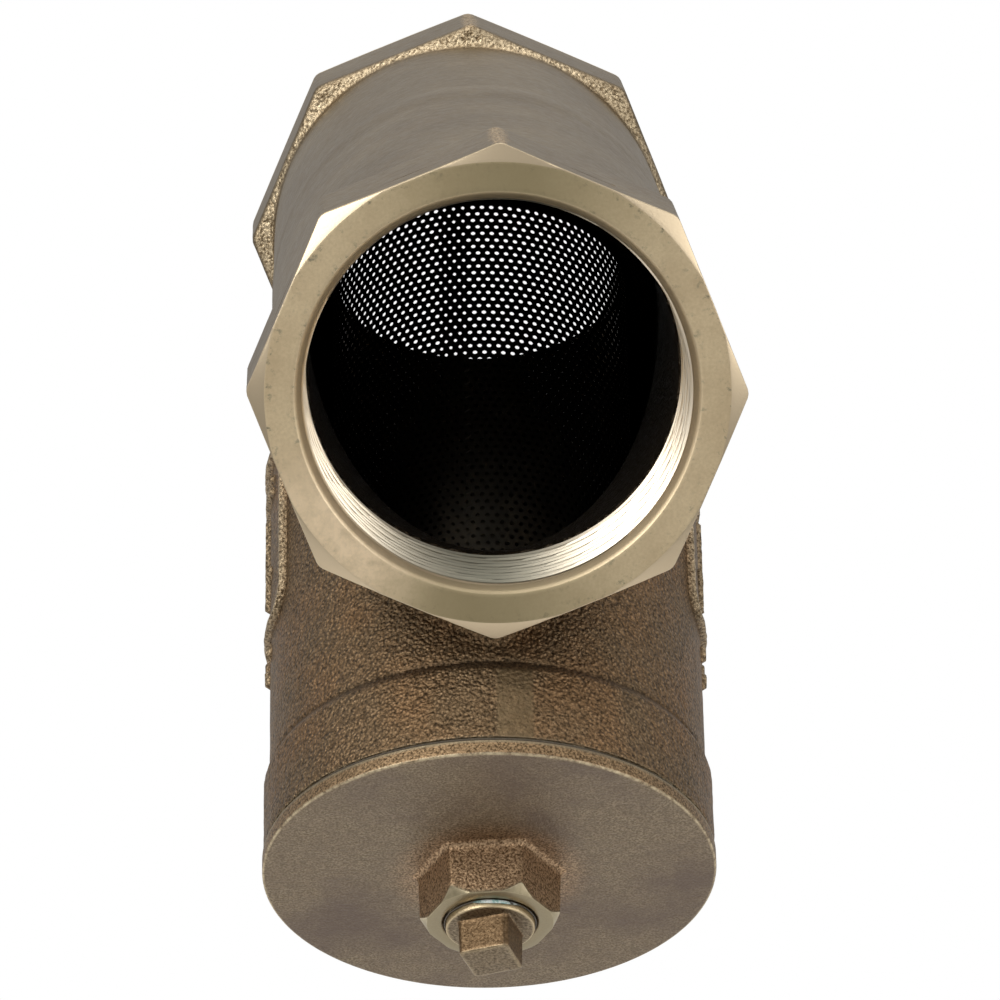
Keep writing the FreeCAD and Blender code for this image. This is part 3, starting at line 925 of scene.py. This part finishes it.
def roughen(piece, amount):
    """Small lumps pushed out along the normals, in millimetres, where amount says."""
    points = points_of(piece)
    normals = read_all(piece.data.vertices, "normal", np.float32, 3)
    lumps = value_noise(points, 1.5, 11) + value_noise(points, 4.0, 12)
    moved = points + normals.reshape(-1, 3) * (lumps * amount)[:, None]
    piece.data.vertices.foreach_set("co", (moved * MM).astype(np.float32).ravel())
    piece.data.update()


def make_collar(material):
    """The leg's end: the rough collar, its machined face and the thread for the cap."""
    collar = Turned(360, leg_point)
    edge_inset = 0.35
    first_along, first_radius = COLLAR_RING - COLLAR_LAP, CHAMBER_RADIUS + 0.3
    rise_start, rise_length, groove = COLLAR_START - 1.0, 2.2, 0.16
    collar.ring(first_radius, first_along)
    collar.run(LEG_RADIUS - 0.1, first_along, 0.6)
    collar.ring(LEG_RADIUS + 0.03, first_along + 0.1)
    collar.run(LEG_RADIUS, COLLAR_RING, 0.3)
    collar.run(LEG_RADIUS - groove, rise_start, 0.15)
    for part in np.arange(1, 11) / 10:
        rise = smooth_step(0, 1, part)
        radius = LEG_RADIUS - groove + (COLLAR_RADIUS - LEG_RADIUS + groove) * rise
        collar.ring(radius, rise_start + rise_length * part)
    collar.run(COLLAR_RADIUS, LEG_END - edge_inset, 0.5)
    collar.ring(COLLAR_RADIUS - 0.10, LEG_END - 0.10, bright=0.15)
    collar.ring(COLLAR_RADIUS - edge_inset, LEG_END, bright=0.5)
    collar.run(CAP_BORE_RADIUS + 0.9, LEG_END, 1.0, bright=0.9)
    collar.ring(CAP_BORE_RADIUS + 0.1, LEG_END - 0.8, bright=0.9)
    start, step, depth = LEG_END - 1.0, CAP_THREAD_STEP, CAP_THREAD_DEPTH
    count = int((LEG_END - CAP_BORE_START - 1.0) / step)
    collar.thread(start, -step, count, CAP_PITCH, CAP_BORE_RADIUS, depth, bright=0.8)
    collar.ring(CAP_BORE_RADIUS, CAP_BORE_START, bright=0.6)
    collar.ring(first_radius, CAP_BORE_START - 0.4)
    piece = collar.build("collar_end", material)
    points = points_of(piece)
    masks = casting_masks(points)
    along, _, radius = leg_coordinates(points)
    outer = masks["grain"] * (radius > COLLAR_RADIUS - 0.2)
    seam = smooth_step(0.3, 1.5, along - COLLAR_RING)
    roughen(piece, 0.07 * outer * seam * (1 - masks["ground"]))
    paint(piece, **masks)
    settle(piece, "casting", "cast_bronze")


def make_seat(material):
    """The screen's machined seat, set in the slanted wall: a hole with a recess round it."""
    seat = Turned(240, leg_point)
    hole, recess, rim = SEAT_HOLE_RADIUS - 0.05, SEAT_RECESS_RADIUS - 0.05, 27.0
    back, floor, face = SEAT_BACK - 0.04, SCREEN_TOP - 0.03, SEAT_FACE + 0.04
    seat.ring(rim, back)
    seat.run(hole, back, 1.0)
    seat.run(hole, floor, 0.5)
    seat.run(recess, floor, 0.3)
    seat.run(recess, face, 0.5)
    seat.run(rim, face, 1.0)
    piece = seat.build("screen_seat", material)
    paint(piece, **casting_masks(points_of(piece)))
    settle(piece, "casting", "cast_bronze")


def panel_height(along, wide):
    """The side panel's relief: a rim, a flow arrow and plain bars, with marks below it."""
    past_along = np.abs(along) - (PANEL_HALF_ALONG - PANEL_CORNER)
    past_wide = np.abs(wide) - (PANEL_HALF_WIDE - PANEL_CORNER)
    rim = np.hypot(np.maximum(past_along, 0), np.maximum(past_wide, 0))
    rim = rim + np.minimum(np.maximum(past_along, past_wide), 0) - PANEL_CORNER
    height = smooth_step(0.85, 0.35, np.abs(rim + 0.75))
    shaft = np.maximum(np.abs(wide) - 1.2, np.abs(along + 1.5) - 5.5)
    head = np.maximum((np.abs(wide) - (10.0 - along) * 0.75) * 0.8, 4.0 - along)
    marks = np.minimum(shaft, head)
    for bar_along in (-12.0, -9.6):
        bar = np.maximum(np.abs(wide) - 6.0, np.abs(along - bar_along) - 0.55)
        marks = np.minimum(marks, bar)
    for spot_along, spot_wide in ((19.2, -2.6), (19.2, 2.6), (22.6, 0.0)):
        spot = np.hypot((along - spot_along) * 0.6, wide - spot_wide) - 0.9
        marks = np.minimum(marks, spot)
    return np.maximum(height, 0.85 * smooth_step(0.25, -0.25, marks))


def make_panel(name, side, material):
    """A raised cast panel on one side of the leg, bedded in the leg's surface."""
    wide = np.arange(-15.0, 15.01, PANEL_STEP)
    around = np.concatenate([wide, wide[::-1]])
    top = len(wide)
    turn = around / LEG_RADIUS if side > 0 else math.pi - around / LEG_RADIUS
    rings = []
    gold = []
    for along in np.arange(34.8, 77.5, PANEL_STEP):
        height = panel_height(along - PANEL_ALONG, wide)
        lumps = value_noise(np.stack([wide, wide * 0 + along, wide * 0 + side * 50], 1), 0.9, 7)
        skin = LEG_RADIUS - 0.22 + height * (1.22 + 0.10 * lumps)
        radius = np.concatenate([skin, np.full(top, LEG_RADIUS - 1.4)])
        rings.append(leg_point(along, radius, turn))
        gold.append(np.concatenate([height, np.zeros(top)]))
    points, quads = loft(rings)
    count = len(around)
    first = np.arange(count)[None, ::-1]
    last = (len(points) - count + np.arange(count))[None, :]
    faces = facing_out(points, [quads, first, last])
    piece = make_mesh(name, points, faces, material)
    paint(piece, grain=np.ones(len(points)), gold=np.concatenate(gold) * 0.55)
    settle(piece, "casting", "cast_bronze")


# ---- Cap, gasket, plug and sealant ----
def make_cap(material):
    """The screwed cap as one closed turning, with its hexagonal boss and tapped hole."""
    cap = Turned(300, leg_point)
    pocket, sump = 24.9, 22.0
    pocket_floor, sump_floor = 100.6, 104.4
    edge_round, foot_round, face_rings = 0.45, 1.1, 28
    spigot, spigot_end = 30.0, FLANGE_UNDER - 11.1
    boss = polygon_radius(cap.turn, 6, BOSS_FLATS / 2, 0.7, BOSS_TURN)
    cap.ring(PLUG_BORE_RADIUS, sump_floor)
    cap.run(sump, sump_floor, 2.5)
    cap.run(sump, pocket_floor, 1.5)
    cap.ring(pocket, pocket_floor)
    cap.run(pocket, spigot_end + 0.4, 1.5)
    cap.ring(pocket + 0.4, spigot_end, bright=1.0)
    cap.run(spigot - 1.4, spigot_end, 1.5, bright=0.9)

    def fade(along):
        both = smooth_step(0, 1.5, along - spigot_end) * smooth_step(0, 1.2, FLANGE_UNDER - along)
        return both * both

    start, step, depth = spigot_end + 0.3, CAP_THREAD_STEP, CAP_THREAD_DEPTH
    count = int(9.6 / step) + 1
    cap.thread(start, step, count, CAP_PITCH, spigot - 1.25, depth, fade, bright=0.9)
    cap.ring(spigot - 1.2, FLANGE_UNDER - 0.4, bright=0.8)
    cap.ring(spigot - 0.9, FLANGE_UNDER, bright=0.8)
    cap.run(CAP_RADIUS - 0.25, FLANGE_UNDER, 1.0, bright=0.8)
    cap.ring(CAP_RADIUS, FLANGE_UNDER + 0.25, bright=0.5)
    cap.run(CAP_RADIUS, CAP_FACE - edge_round, 0.5, rim=1.0)
    # The rounded edge is marked for a pale painted highlight with wear.
    for lean in (0.25, 0.5, 0.75, 1.0):
        swing = math.radians(90 * lean)
        radius = CAP_RADIUS - edge_round * (1 - math.cos(swing))
        along = CAP_FACE - edge_round * (1 - math.sin(swing))
        cap.ring(radius, along, rim=1 - lean, edge=0.9 * (1 - abs(2 * lean - 1)))
    rim, base = CAP_RADIUS - edge_round, boss + 1.35
    for part in np.arange(1, face_rings + 1) / face_rings:
        radius = rim + (base - rim) * part
        cap.ring(radius, CAP_FACE, copper=0.6 * smooth_step(16.5, 11.5, radius))
    for lean in (0.2, 0.4, 0.6, 0.8, 1.0):
        swing = math.radians(90 * lean)
        rise = foot_round * (1 - math.cos(swing))
        cap.ring(base - foot_round * math.sin(swing), CAP_FACE + rise, copper=1.0)
    fall = np.maximum(boss - BOSS_FACE_RADIUS, 0.03) * BOSS_CHAMFER_SLOPE
    shoulder = BOSS_FACE - fall
    start = CAP_FACE + foot_round
    for part in np.arange(1, 13) / 13:
        lean = 0.25 * (1 - part)
        cap.ring(boss + lean, start + (shoulder - 0.08 - start) * part, copper=1.0)
    cap.ring(boss, shoulder - 0.08, copper=0.6, bright=0.4)
    cap.ring(boss - 0.06, shoulder, bright=1.0, edge=0.6)
    face_edge = np.minimum(BOSS_FACE_RADIUS, boss - 0.10)
    cap.ring((boss + face_edge) / 2, BOSS_FACE - fall / 2, bright=1.0, edge=0.25)
    cap.ring(face_edge + 0.04, BOSS_FACE - 0.03, bright=1.0, edge=0.3)
    cap.ring(face_edge - 0.05, BOSS_FACE, bright=0.9)
    hole_edge = (
        (8.6, 0.0, 0.8),
        (7.62, 0.0, 0.85),
        (7.50, 0.06, 0.5),
        (7.34, 0.22, 0.0),
        (PLUG_BORE_RADIUS + 0.1, 0.6, 0.0),
    )
    for radius, depth, bright in hole_edge:
        cap.ring(radius, BOSS_FACE - depth, bright=bright)
    start, step = BOSS_FACE - 1.0, PLUG_THREAD_STEP
    count = int((start - sump_floor) / step)
    cap.thread(start, -step, count, PLUG_PITCH, PLUG_BORE_RADIUS, 0.75, bright=0.5)
    piece = cap.build("cap_body", material)
    along, _, radius = leg_coordinates(points_of(piece))
    cast = (along > CAP_FACE - 0.6) & (radius > 9.2) & (along < BOSS_FACE - 1.0)
    rim = smooth_step(35.0, 34.2, radius) + (along < CAP_FACE - 0.5) * 0.5
    roughen(piece, 0.04 * cast * rim)
    settle(piece, "cap", "cap_bronze", "cap")


def make_gasket(material):
    """The fibre ring between collar and cap, squeezed out a little unevenly."""
    gasket = Turned(240, leg_point)
    wander = value_noise(leg_point(0, 34.0, gasket.turn), 6.0, 21) * 0.12
    inner, outer = 30.8, 34.62 + wander
    for radius, along in (
        (inner, LEG_END),
        (outer - 0.1, LEG_END),
        (outer + 0.06, LEG_END + 0.14),
        (outer + 0.09, LEG_END + 0.25),
        (outer + 0.06, LEG_END + 0.36),
        (outer - 0.1, FLANGE_UNDER),
        (inner, FLANGE_UNDER),
    ):
        gasket.ring(radius, along)
    piece = gasket.build("gasket_ring", material)
    settle(piece, "gasket", "gasket", "cap_gasket")


def make_plug(material):
    """The drain plug: threaded shank, shoulder and a square head with rounded edges."""
    plug = Turned(144, leg_point)
    head = polygon_radius(plug.turn, 4, PLUG_SIDE / 2, 0.85, PLUG_CORNER_TURN)
    shank_end = PLUG_SHOULDER - 11.0
    root = PLUG_RADIUS - 0.9
    plug.ring(3.0, shank_end)
    plug.ring(root - 0.1, shank_end, bright=0.5)

    def fade(along):
        return smooth_step(shank_end, shank_end + 1.6, along)

    start, step = shank_end + 0.6, PLUG_THREAD_STEP
    count, height = int(8.7 / step), PLUG_RADIUS - root
    plug.thread(start, step, count, PLUG_PITCH, root, height, fade, bright=0.5)
    plug.ring(PLUG_RADIUS - 0.05, BOSS_FACE - 0.4, bright=0.6)
    plug.ring(PLUG_RADIUS, BOSS_FACE, bright=0.8)
    plug.run(PLUG_RADIUS, PLUG_SHOULDER - 0.22, 0.3, bright=0.8)
    plug.ring(PLUG_RADIUS - 0.07, PLUG_SHOULDER - 0.08, bright=1.0)
    plug.ring(PLUG_RADIUS - 0.22, PLUG_SHOULDER, bright=0.5, grey=1.0)
    plug.run(head + 0.35, PLUG_SHOULDER, 0.3, grey=1.0)
    plug.ring(head + 0.1, PLUG_SHOULDER + 0.1)
    plug.ring(head, PLUG_SHOULDER + 0.4)
    top = PLUG_HEAD_END
    plug.run(head - 0.12, top - 0.45, 0.3)
    # The rounded top edge of the head is a little brighter: a painted highlight.
    for lean in (0.33, 0.66, 1.0):
        swing = math.radians(90 * lean)
        inset = 0.12 + 0.35 * (1 - math.cos(swing))
        plug.ring(head - inset, top - 0.45 + 0.35 * math.sin(swing), bright=0.25, grey=lean)
    for part in (0.9, 0.75, 0.6, 0.45, 0.3, 0.15, 0.05):
        plug.ring((head - 0.47) * part, top - 0.1 * part, grey=0.9)
    piece = plug.build("plug_body", material, closed=False)
    above = leg_coordinates(points_of(piece))[0] > PLUG_SHOULDER + 0.3
    roughen(piece, 0.03 * above)
    settle(piece, "plug", "plug_bronze", "blowoff_plug")


def make_sealant(material):
    """A thin, uneven collar of jointing compound where the plug leaves the boss."""
    bead = Turned(160, leg_point)
    middle = leg_point(0, 7.0, bead.turn)
    lumps = value_noise(middle, 1.1, 31) * 0.5 + value_noise(middle, 2.6, 32) * 0.5
    facing = smooth_step(0.82, 1.0, np.sin(bead.turn - math.radians(-6)))
    half_width, half_height = 0.12 + 0.03 * lumps, 0.10 + 0.20 * facing + 0.05 * lumps
    for swing in TAU * np.arange(10) / 10:
        radius = 7.02 + half_width * np.cos(swing)
        along = BOSS_FACE - 0.08 + half_height * (1 + np.sin(swing))
        bead.ring(radius, along, fresh=facing)
    piece = bead.build("sealant_bead", material, sharp=None)
    settle(piece, "sealant", "sealant", "plug_sealant")


# ---- The perforated screen ----
def lattice_sheet(columns, rows, pitch, start, first_row, wraps, ends):
    """A flat sheet of hexagonal cells, each with a round hole: points, faces by corner count."""
    row_step = pitch * math.sqrt(0.75)
    reach = pitch / math.sqrt(3)
    row, column = np.meshgrid(np.arange(rows), np.arange(columns), indexing="ij")
    stagger = 0.5 * ((row + first_row) % 2)
    centre = np.stack([(column + stagger) * pitch, start + (row + first_row) * row_step], -1)
    centre = centre.reshape(-1, 2)
    corner_turn = np.radians(30 + 60 * np.arange(6))
    corner = np.stack([np.cos(corner_turn), np.sin(corner_turn)], -1) * reach
    hole_turn = np.radians(30 + 360 / HOLE_SIDES * np.arange(HOLE_SIDES))
    hole = np.stack([np.cos(hole_turn), np.sin(hole_turn)], -1) * HOLE_RADIUS
    corners = centre[:, None] + corner[None]
    holes = centre[:, None] + hole[None]
    points = [corners.reshape(-1, 2), holes.reshape(-1, 2)]
    cells = len(centre)
    corner_index = np.arange(cells * 6).reshape(cells, 6)
    hole_index = cells * 6 + np.arange(cells * HOLE_SIDES).reshape(cells, HOLE_SIDES)
    fives = []
    for side in range(6):
        after = (side + 1) % 6
        ring = [corner_index[:, side], corner_index[:, after]]
        ring += [hole_index[:, (2 * side + back) % HOLE_SIDES] for back in (2, 1, 0)]
        fives.append(np.stack(ring, 1))
    fives = np.concatenate(fives)
    fours = []
    total = cells * (6 + HOLE_SIDES)
    for end, chain_corners, last_row in ((0, (4, 5), 0), (1, (1, 0), rows - 1)):
        if ends[end] is None:
            continue
        line = np.arange(columns) + last_row * columns
        chain = corner_index[line][:, chain_corners].ravel()
        flat = corners.reshape(-1, 2)[chain].copy()
        flat[:, 1] = ends[end]
        points.append(flat)
        number = total + np.arange(len(flat))
        total += len(flat)
        following = np.roll(np.arange(len(flat)), -1)
        if not wraps:
            following = following[:-1]
        first = np.arange(len(following))
        quad = np.stack([chain[first], number[first], number[following], chain[following]], 1)
        fours.append(quad if end == 0 else quad[:, ::-1])
    points = np.concatenate(points)
    return weld_sheet(points, fives, fours, pitch, columns if wraps else None)


def weld_sheet(points, fives, fours, pitch, around):
    """Join the cells' shared corners, and the sheet's two sides when it goes all the way round."""
    key = np.round(points / (pitch / CELL_UNITS)).astype(np.int64)
    if around:
        key[:, 0] %= CELL_UNITS * around
    _, first, inverse = np.unique(key, axis=0, return_index=True, return_inverse=True)
    inverse = inverse.ravel()
    faces = [inverse[fives]] + [inverse[quad] for quad in fours]
    return points[first], faces


def thick_sheet(name, points, faces, radius, thickness, offset, material):
    """Wrap a flat sheet round the leg's axis and give it thickness and hole walls."""
    count = len(points)
    turn = offset + points[:, 0] / SCREEN_RADIUS
    outer = leg_point(points[:, 1], radius, turn)
    inner = leg_point(points[:, 1], radius - thickness, turn)
    edges = []
    for group in faces:
        for side in range(group.shape[1]):
            edges.append(group[:, [side, (side + 1) % group.shape[1]]])
    edges = np.concatenate(edges)
    forward = edges[:, 0] * count + edges[:, 1]
    backward = edges[:, 1] * count + edges[:, 0]
    open_edge = edges[~np.isin(forward, backward)]
    first, second = open_edge[:, 0], open_edge[:, 1]
    walls = np.stack([second, first, first + count, second + count], 1)
    solid = faces + [group[:, ::-1] + count for group in faces] + [walls]
    both = np.concatenate([outer, inner])
    return make_mesh(name, both, facing_out(both, solid), material, sharp=40)


def make_screen(material):
    """The rolled, perforated sheet in three lengths, and the second layer of its lap seam."""
    pitch = TAU * SCREEN_RADIUS / COLUMNS
    row_step = pitch * math.sqrt(0.75)
    start = SCREEN_TOP + SCREEN_MARGIN
    rows = int((SCREEN_BOTTOM - SCREEN_MARGIN - start) / row_step)
    cuts = [0, rows // 3, 2 * rows // 3, rows]
    for number, (low, high) in enumerate(zip(cuts[:-1], cuts[1:]), start=1):
        ends = (SCREEN_TOP if low == 0 else None, SCREEN_BOTTOM if high == rows else None)
        sheet = lattice_sheet(COLUMNS, high - low, pitch, start, low, True, ends)
        name = "screen_tube_%d" % number
        piece = thick_sheet(name, *sheet, SCREEN_RADIUS, SCREEN_SHEET, SEAM_TURN, material)
        settle(piece, "screen", "screen_steel", *(["screen"] if number == 1 else []))
    lap_columns = int(round(SEAM_ANGLE * SCREEN_RADIUS / pitch))
    shifted = start + LAP_SHIFT * pitch
    ends = (SCREEN_TOP, SCREEN_BOTTOM)
    sheet = lattice_sheet(lap_columns, rows, pitch, shifted, 0, False, ends)
    lap_radius = SCREEN_RADIUS + SCREEN_SHEET
    begin = SEAM_TURN + LAP_SHIFT * pitch / SCREEN_RADIUS
    piece = thick_sheet("screen_lap", *sheet, lap_radius, SCREEN_SHEET - 0.03, begin, material)
    settle(piece, "screen", "screen_steel")


# ---- Camera, light and floor ----
def aim(item, back, up):
    """Turn an object's -Z away from back, with its +Y near up."""
    back = Vector(back).normalized()
    across = Vector(up).cross(back).normalized()
    top = back.cross(across)
    item.rotation_euler = Matrix((across, top, back)).transposed().to_euler()


def make_camera():
    """The photograph's camera, from a fit to the port's corners and circles."""
    azimuth, elevation, roll = np.radians((1.956, 10.598, 0.587))
    distance, shift_right, shift_up = 1024.05, 2.5, 2.613
    level = np.array([math.cos(azimuth), -math.sin(azimuth), 0])
    heading = np.array([math.sin(azimuth), math.cos(azimuth), 0])
    ahead = heading * math.cos(elevation) - np.array([0, 0, math.sin(elevation)])
    upright = np.cross(level, ahead)
    target = np.array([0, OUTLET_Y + 60.0, -30.0]) + shift_right * level + shift_up * upright
    data = bpy.data.cameras.new("camera")
    data.lens = 230.97
    data.sensor_width = 36.0
    data.clip_start = 0.01
    data.clip_end = 50
    camera = add_object("camera", data)
    camera.location = (target - distance * ahead) * MM
    up = math.cos(roll) * upright - math.sin(roll) * level
    aim(camera, -ahead, up)
    bpy.context.scene.camera = camera


def area_light(name, place, size, power):
    """A soft light in metres and watts, turned to the middle of the object."""
    data = bpy.data.lights.new(name, "AREA")
    data.shape = "RECTANGLE"
    data.size, data.size_y = size
    data.energy = power
    light = add_object(name, data)
    light.location = place
    back = np.array(place) - np.array(LIGHT_TARGET)
    overhead = abs(back[2]) > 0.98 * np.linalg.norm(back)
    aim(light, back, (0, 1, 0) if overhead else (0, 0, 1))


def make_lights():
    area_light("key", (-1.0, -1.05, 0.78), (1.1, 1.1), 16)
    area_light("fill", (1.1, -0.9, 0.4), (0.9, 1.1), 6)
    area_light("top", (0.0, 0.1, 1.3), (1.2, 1.2), 10)


def make_world():
    """White to the eye; to the metal, bright ahead of and above it and darker behind the camera."""
    world = bpy.data.worlds.new("studio")
    bpy.context.scene.world = world
    world.use_nodes = True
    tree = world.node_tree
    new, link = tree.nodes.new, tree.links.new
    surface = tree.nodes["Background"]
    path = new("ShaderNodeLightPath")
    place = new("ShaderNodeTexCoord")
    toward = new("ShaderNodeVectorMath")
    toward.operation = "DOT_PRODUCT"
    toward.inputs[1].default_value = (0.0, 0.55, 0.45)
    link(place.outputs["Generated"], toward.inputs[0])
    ramp = new("ShaderNodeMapRange")
    link(toward.outputs["Value"], ramp.inputs["Value"])
    for key, value in (("From Min", -0.6), ("From Max", 0.6), ("To Min", 0.24), ("To Max", 0.62)):
        ramp.inputs[key].default_value = value
    mix = new("ShaderNodeMix")
    link(path.outputs["Is Camera Ray"], mix.inputs["Factor"])
    link(ramp.outputs["Result"], mix.inputs[2])
    mix.inputs[3].default_value = 1.0
    link(mix.outputs[0], surface.inputs["Strength"])
    surface.inputs["Color"].default_value = (1, 1, 1, 1)


def make_floor():
    """A pale disc well below the object."""
    radius, count, middle_y = 420.0, 96, -90
    height = CAD_BOX[0].z / MM - 160
    column = np.arange(count)
    turn = column * TAU / count
    rings = []
    for reach, drop in ((radius - 2, 0.0), (radius, 2.0), (radius, 6.0), (radius - 2, 8.0)):
        level = np.full(count, height - drop)
        rings.append(np.stack([reach * np.cos(turn), reach * np.sin(turn) + middle_y, level], -1))
    points, quads = loft(rings)
    faces = [quads[:, ::-1], column[None, :], (3 * count + column)[None, ::-1]]
    make_mesh("floor", points, faces, floor_material(), sharp=30)


# ---- Build ----
def main():
    bpy.context.scene.view_settings.view_transform = "Standard"
    make_camera()
    make_world()
    make_lights()
    make_floor()
    casting = casting_material()
    machined = machined_material()
    make_shell(casting)
    make_port("outlet_port_ring", OUTLET_Y, 1, (machined, casting))
    make_port("inlet_port_ring", 0.0, -1, (machined, casting))
    make_collar(casting)
    make_seat(casting)
    make_panel("panel_left", -1, casting)
    make_panel("panel_right", 1, casting)
    make_cap(cap_material())
    make_gasket(gasket_material())
    make_plug(plug_material())
    make_sealant(sealant_material())
    make_screen(screen_material())


main()
